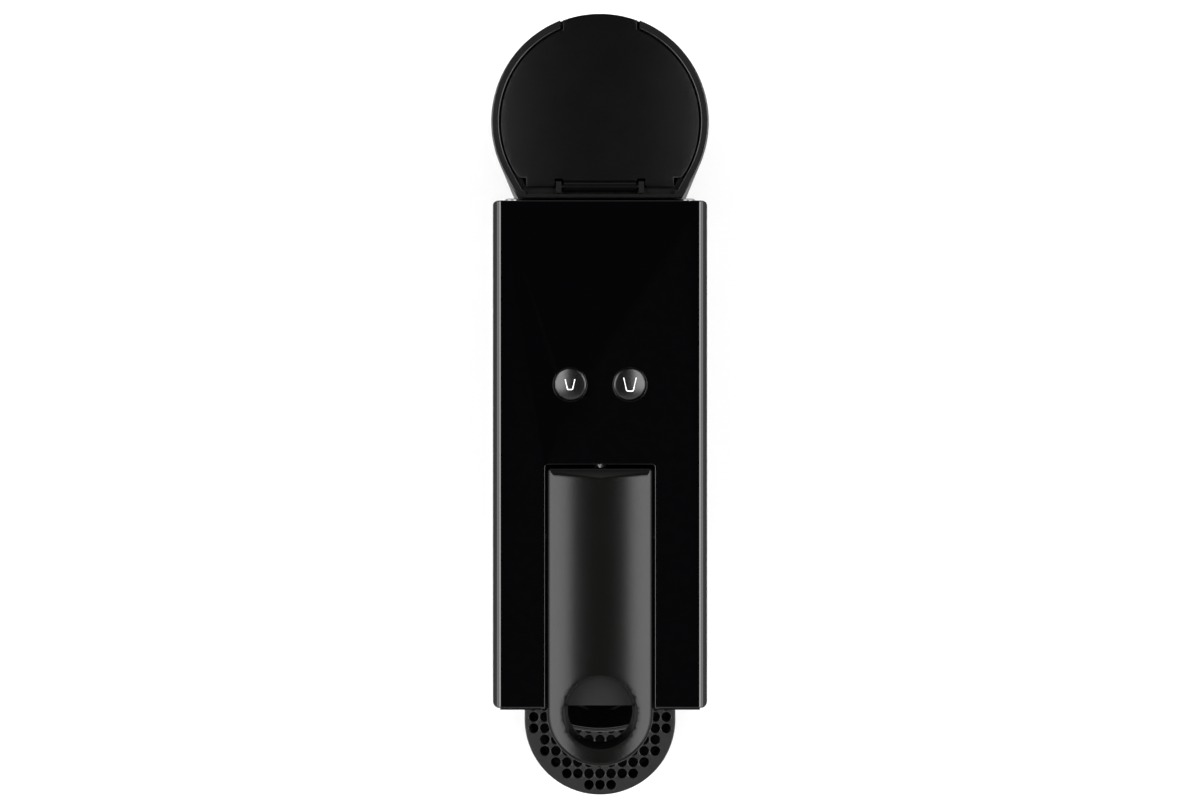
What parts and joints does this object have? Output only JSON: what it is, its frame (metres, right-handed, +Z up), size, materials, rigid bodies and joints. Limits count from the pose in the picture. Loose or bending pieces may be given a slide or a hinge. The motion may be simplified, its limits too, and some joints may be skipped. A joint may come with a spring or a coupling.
{
  "type": "pod coffee machine",
  "caption": "Slim pod coffee machine: glossy sleeve body, ring-ended lever that drives the brew unit, push buttons, lift-off lidded water tank, drip drawer with grid and capsule bin.",
  "frame": {"origin": "on the floor under the middle of the machine, at the feet's undersides", "axes": "+Z up, -Y towards the outlet and the drip tray, +Y towards the water tank, +X to the right of a person who faces the outlet"},
  "size_m": [0.084, 0.323, 0.2016],
  "materials": {
    "gloss_black": "polished injection-moulded ABS",
    "satin_black": "satin moulded plastic",
    "lever_charcoal": "satin charcoal lacquer on plastic",
    "tray_grey": "fine satin dark grey plastic",
    "inner_black": "matt black moulded plastic",
    "tank_smoke": "dark smoked translucent plastic",
    "steel": "machined stainless steel",
    "aluminium": "cast aluminium",
    "rubber": "matt black rubber",
    "silicone": "translucent silicone",
    "white_plastic": "natural acetal",
    "board_green": "circuit board laminate and components"
  },
  "bodies": {
    "body": {"outer_shell": "gloss_black", "front_panel": "inner_black", "rear_panel": "inner_black", "lever_channel": "inner_black", "panel_screw_1": "steel", "panel_screw_2": "steel", "panel_screw_3": "steel", "panel_screw_4": "steel", "base_screw_1": "steel", "base_screw_2": "steel", "base_screw_3": "steel", "base_screw_4": "steel", "base_plate": "satin_black", "foot_front_left": "rubber", "foot_front_right": "rubber", "foot_rear_left": "rubber", "foot_rear_right": "rubber", "cable_gland": "rubber", "idler_pin_left": "steel", "idler_pin_right": "steel", "brew_frame": "inner_black", "extraction_plate": "steel", "outlet_tube": "inner_black", "outlet_nose": "gloss_black", "button_switch_small": "satin_black", "button_switch_large": "satin_black", "button_board": "board_green", "control_board": "board_green", "heater_block": "aluminium", "pump": "steel", "pump_mount_lower": "rubber", "pump_mount_upper": "rubber", "pump_bracket": "aluminium", "flow_meter": "white_plastic", "hose_tank_to_meter": "silicone", "hose_meter_to_pump": "silicone", "hose_pump_to_heater": "silicone", "tank_connector": "satin_black", "connector_seal": "rubber"},
    "lever": {"lever": "lever_charcoal", "lever_axle": "steel", "lever_gear_left": "steel", "lever_gear_right": "steel"},
    "idler_left": {"idler_gear_left": "white_plastic"},
    "idler_right": {"idler_gear_right": "white_plastic"},
    "cage": {"brew_cage": "steel"},
    "small_cup_button": {"button_small_cup": "gloss_black"},
    "large_cup_button": {"button_large_cup": "gloss_black"},
    "tank": {"water_tank": "tank_smoke", "lid_pin": "steel", "valve_bridge": "satin_black", "valve_spring": "steel"},
    "lid": {"tank_lid": "satin_black"},
    "valve": {"tank_valve": "rubber"},
    "rotor": {"flow_rotor": "white_plastic"},
    "drawer": {"drip_base": "satin_black"},
    "grid": {"drip_grid": "tray_grey"},
    "bin": {"capsule_bin": "satin_black"}
  },
  "joints": [
    {"name": "lever_hinge", "type": "hinge", "parent": "body", "child": "lever", "pos_m": [0, -0.04, 0.1948], "axis": [-1, 0, 0], "range_deg": [0, 90]},
    {"name": "idler_left_hinge", "type": "hinge", "parent": "body", "child": "idler_left", "pos_m": [-0.0245, -0.04, 0.1692], "axis": [-1, 0, 0], "range_deg": [-198.5, 0]},
    {"name": "idler_right_hinge", "type": "hinge", "parent": "body", "child": "idler_right", "pos_m": [0.0245, -0.04, 0.1692], "axis": [-1, 0, 0], "range_deg": [-198.5, 0]},
    {"name": "cage_slide", "type": "slide", "parent": "body", "child": "cage", "axis": [0, 1, 0], "range_m": [0, 0.0277]},
    {"name": "small_cup_press", "type": "slide", "parent": "body", "child": "small_cup_button", "axis": [0, 0, -1], "range_m": [0, 0.0012], "stiffness_N_per_m": 400},
    {"name": "large_cup_press", "type": "slide", "parent": "body", "child": "large_cup_button", "axis": [0, 0, -1], "range_m": [0, 0.0012], "stiffness_N_per_m": 400},
    {"name": "tank_lift", "type": "slide", "parent": "body", "child": "tank", "axis": [0, 0, 1], "range_m": [0, 0.19]},
    {"name": "lid_hinge", "type": "hinge", "parent": "tank", "child": "lid", "pos_m": [0, 0.0946, 0.1859], "axis": [1, 0, 0], "range_deg": [0, 95]},
    {"name": "valve_slide", "type": "slide", "parent": "tank", "child": "valve", "axis": [0, 0, 1], "range_m": [0, 0.003], "stiffness_N_per_m": 150, "deforming": ["valve_spring"]},
    {"name": "flow_rotor_spin", "type": "hinge", "parent": "body", "child": "rotor", "pos_m": [0, 0.066, 0.038], "axis": [0, 0, 1], "continuous": true},
    {"name": "drawer_slide", "type": "slide", "parent": "body", "child": "drawer", "axis": [0, -1, 0], "range_m": [0, 0.14]},
    {"name": "grid_lift", "type": "slide", "parent": "drawer", "child": "grid", "axis": [0, 0, 1], "range_m": [0, 0.08]},
    {"name": "bin_slide", "type": "slide", "parent": "drawer", "child": "bin", "axis": [0, -1, 0], "range_m": [0, 0.09]}
  ],
  "couplings": [
    {"joint": "idler_left_hinge", "follows": "lever_hinge", "ratio": -2.2},
    {"joint": "idler_right_hinge", "follows": "lever_hinge", "ratio": -2.2},
    {"joint": "cage_slide", "follows": "lever_hinge", "m_per_rad": 0.0176}
  ]
}
